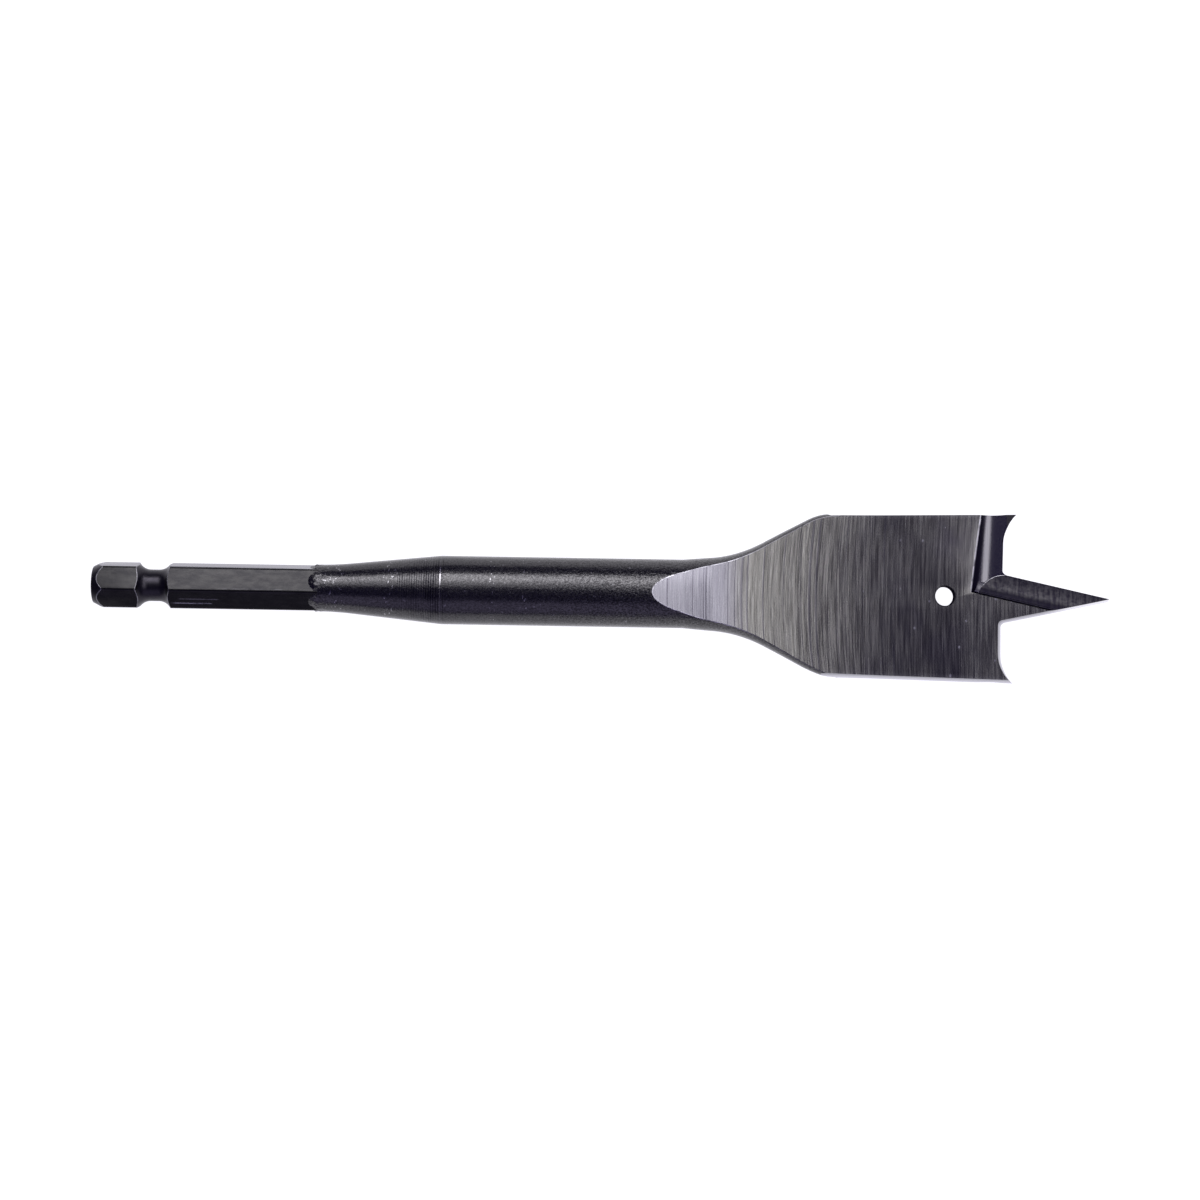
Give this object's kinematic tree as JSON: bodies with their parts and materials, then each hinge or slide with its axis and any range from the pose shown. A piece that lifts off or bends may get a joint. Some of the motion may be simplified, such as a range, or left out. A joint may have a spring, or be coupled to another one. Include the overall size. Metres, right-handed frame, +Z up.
{
  "type": "spade drill bit",
  "caption": "Flat wood-boring spade bit with a hex quick-change shank, a round tapered stem, a ground blade with hollow cutting lips and edge spurs, and a long fluted centre point.",
  "frame": {"origin": "middle of the bit's length and width, at the level of the surface it lies on", "axes": "+X along the bit's axis from the hex shank's end to the point, +Y across the blade, +Z up, out of the blade's front face"},
  "size_m": [0.152, 0.0252, 0.0103],
  "materials": {
    "black_steel": "blackened and oiled, with cross-ground faces"
  },
  "bodies": {
    "root": {"spade_bit": "black_steel"}
  },
  "joints": []
}
